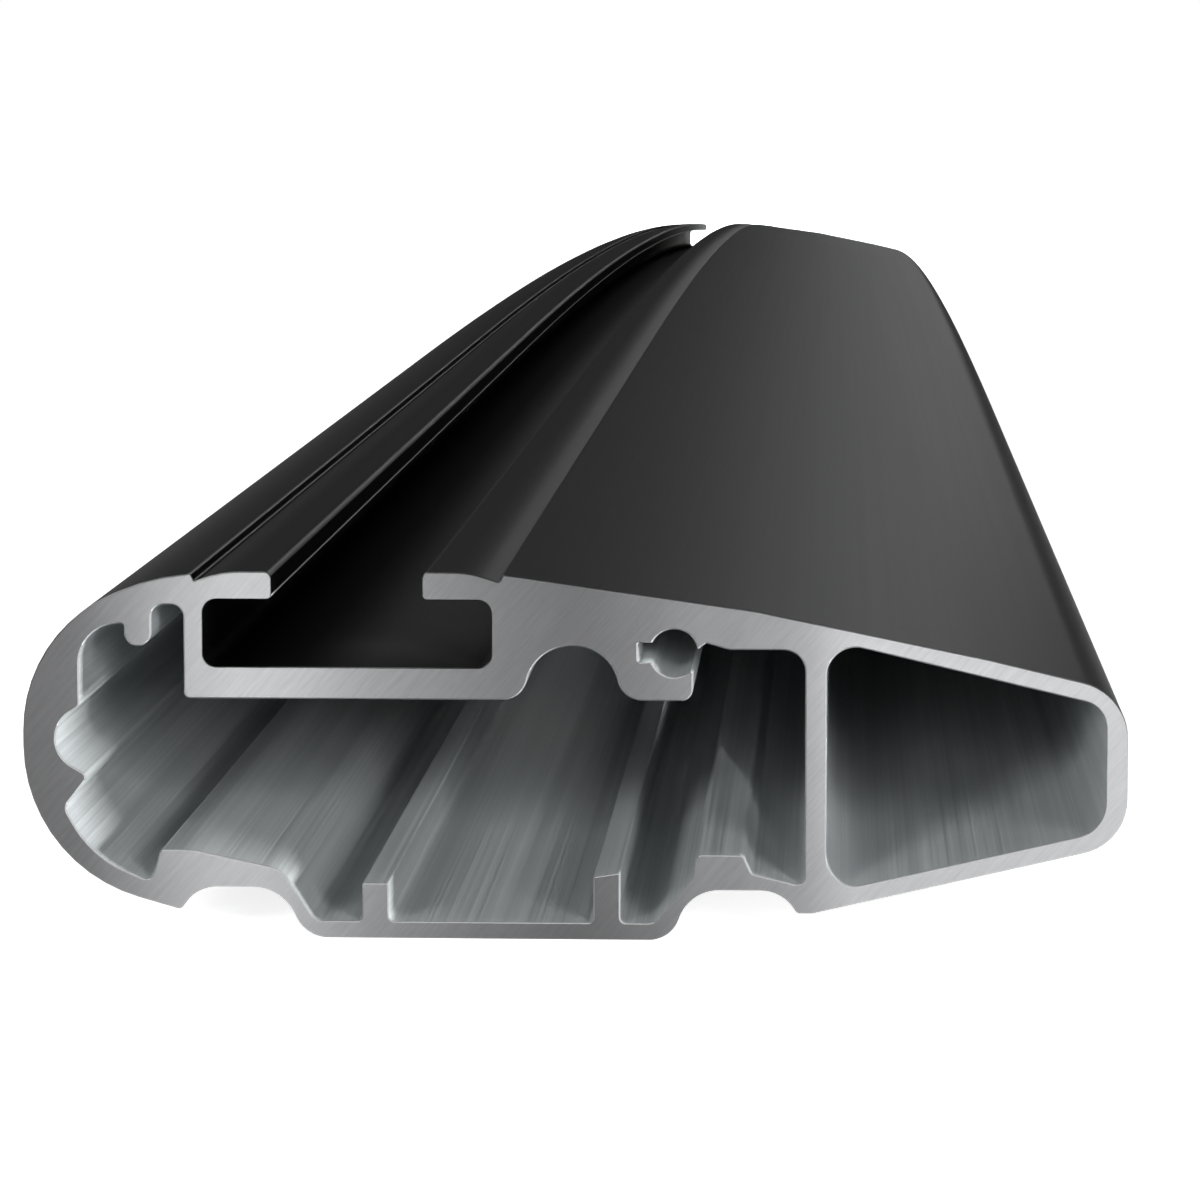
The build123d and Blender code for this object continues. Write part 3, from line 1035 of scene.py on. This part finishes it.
def make_world():
    """White studio for the camera; the bar is lit by it from overhead, and sees it dark at the sides."""
    world = bpy.data.worlds.new("studio")
    bpy.context.scene.world = world
    world.use_nodes = True
    tree = world.node_tree
    background = tree.nodes["Background"]
    output = tree.nodes["World Output"]
    background.inputs["Color"].default_value = (1.0, 1.0, 1.0, 1.0)
    path = tree.nodes.new("ShaderNodeLightPath")
    direction = tree.nodes.new("ShaderNodeTexCoord")
    parts = tree.nodes.new("ShaderNodeSeparateXYZ")
    tree.links.new(direction.outputs["Generated"], parts.inputs["Vector"])
    fade = tree.nodes.new("ShaderNodeMapRange")
    fade.inputs["From Min"].default_value = overhead_start
    fade.inputs["From Max"].default_value = overhead_full
    fade.inputs["To Min"].default_value = studio_sides
    fade.inputs["To Max"].default_value = studio_overhead
    tree.links.new(parts.outputs["Z"], fade.inputs["Value"])
    strength = tree.nodes.new("ShaderNodeMix")
    tree.links.new(path.outputs["Is Camera Ray"], strength.inputs["Factor"])
    tree.links.new(fade.outputs["Result"], strength.inputs["A"])
    strength.inputs["B"].default_value = studio_white
    tree.links.new(strength.outputs["Result"], background.inputs["Strength"])
    tree.links.new(background.outputs["Background"], output.inputs["Surface"])


# Camera: lens and sensor in millimetres, places in metres
near_end = start_along * MM
far_end = station(bar_length)[0] * MM
camera_lens = 147.12
camera_sensor = 36.0
camera_distance = 0.35149
camera_side = 0.01896
camera_height = 0.05931
aim_side = 0.00197
aim_height = 0.02479


def turned_to(place, aim):
    """Rotation of a lamp or camera that stands at a place and looks at its aim."""
    return (Vector(aim) - Vector(place)).to_track_quat("-Z", "Y").to_euler()


def make_camera():
    """Camera just above and in front of the near end, looking along the bar."""
    data = bpy.data.cameras.new("camera")
    data.sensor_width = camera_sensor
    data.lens = camera_lens
    data.clip_start = 0.01
    data.clip_end = 100.0
    camera = bpy.data.objects.new("camera", data)
    camera.location = (camera_side, near_end - camera_distance, camera_height)
    camera.rotation_euler = turned_to(camera.location, (aim_side, near_end, aim_height))
    bpy.context.scene.collection.objects.link(camera)
    bpy.context.scene.camera = camera


# Lamps aim at the middle of an end; the two narrow beams reach in between the ribs and into the tail
lamp_aim_height = 0.014
near_middle = (0.0, near_end, lamp_aim_height)
far_middle = (0.0, far_end, lamp_aim_height)
near_top = (0.0, near_end, 0.02)
rib_room = (-0.0075, near_end, 0.008)
tail_room = (0.0205, near_end, 0.012)
beam_spread = 0.9
beam_size = (0.006, 0.006)


def add_lamp(name, place, aim, size, power, diffuse=True, glossy=True, spread=180.0):
    """A soft rectangular lamp; diffuse and glossy say what of the finishes it lights."""
    light = bpy.data.lights.new(name, "AREA")
    light.shape = "RECTANGLE"
    light.size, light.size_y = size
    light.energy = power
    light.spread = radians(spread)
    lamp = bpy.data.objects.new(name, light)
    lamp.location = place
    lamp.rotation_euler = turned_to(place, aim)
    lamp.visible_diffuse = diffuse
    lamp.visible_glossy = glossy
    bpy.context.scene.collection.objects.link(lamp)


def make_lamps():
    """One lamp overhead, five for the ends, two beams, and two strips for the sheen of the panel."""
    add_lamp("left_overhead", (-1.1, 0.0, 1.25), (0.0, 0.0, 0.0), (2.0, 0.8), 12.0)
    place = (0.0, near_end - 1.39, 0.2)
    add_lamp("front", place, near_middle, (0.35, 0.35), 15.0, glossy=False)
    place = (0.58, near_end - 1.24, 0.3)
    add_lamp("front_right", place, near_middle, (0.35, 0.35), 24.0, glossy=False)
    place = (-0.57, near_end - 1.23, 0.38)
    add_lamp("front_left", place, near_middle, (0.35, 0.18), 16.0, glossy=False)
    place = (0.01, near_end - 1.0, 0.06)
    add_lamp("rib_beam", place, rib_room, beam_size, 0.0010, glossy=False, spread=beam_spread)
    place = (0.15, near_end - 1.0, 0.05)
    add_lamp("tail_beam", place, tail_room, beam_size, 0.0021, glossy=False, spread=beam_spread)
    place = (1.38, near_end - 0.24, 0.045)
    add_lamp("side", place, near_middle, (0.35, 0.08), 46.0, glossy=False)
    place = (0.25, far_end + 1.4, 0.3)
    add_lamp("back", place, far_middle, (0.5, 0.3), 30.0, glossy=False)
    add_lamp("strip", (0.54, 6.0, 1.1), near_top, (0.25, 1.1), 1.6, diffuse=False)
    add_lamp("wide_strip", (0.30, 6.0, 1.15), near_top, (0.35, 1.1), 0.85, diffuse=False)


make_floor()
make_world()
make_camera()
make_lamps()

bpy.context.scene.view_settings.view_transform = "Standard"
